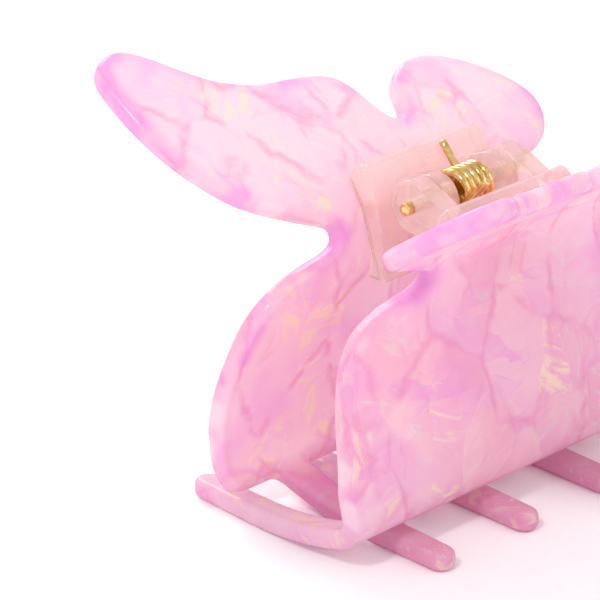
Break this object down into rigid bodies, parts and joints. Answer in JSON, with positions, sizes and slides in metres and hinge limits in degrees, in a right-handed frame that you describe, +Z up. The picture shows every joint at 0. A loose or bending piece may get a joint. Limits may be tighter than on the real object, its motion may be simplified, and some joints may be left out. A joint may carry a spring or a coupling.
{
  "type": "claw clip",
  "caption": "Large butterfly claw clip for hair: two bent marbled sheet jaws with interlocking teeth and wing handles, hinged on a sprung pin.",
  "frame": {"origin": "on the table under the hinge, midway along the hinge and between the closed jaws", "axes": "+X along the hinge pin, +Y towards the rear jaw, +Z up from the table to the handles"},
  "size_m": [0.0834, 0.0832, 0.0683],
  "materials": {
    "acetate": "polished cellulose acetate marbled with pale pink, magenta, lavender and peach chips",
    "clear_plastic": "glossy clear pink moulded plastic",
    "gold_metal": "polished gold plated steel"
  },
  "bodies": {
    "rear_half": {"rear_jaw": "acetate", "rear_hinge_block": "clear_plastic", "torsion_spring": "gold_metal"},
    "front_half": {"front_jaw": "acetate", "front_hinge_block": "clear_plastic", "hinge_pin": "gold_metal"}
  },
  "joints": [
    {"name": "clip_opening", "type": "hinge", "parent": "rear_half", "child": "front_half", "pos_m": [0, 0, 0.0477], "axis": [-1, 0, 0], "range_deg": [0, 55], "stiffness_Nm_per_rad": 0.25, "springref_deg": -34.38, "deforming": ["torsion_spring"]}
  ]
}
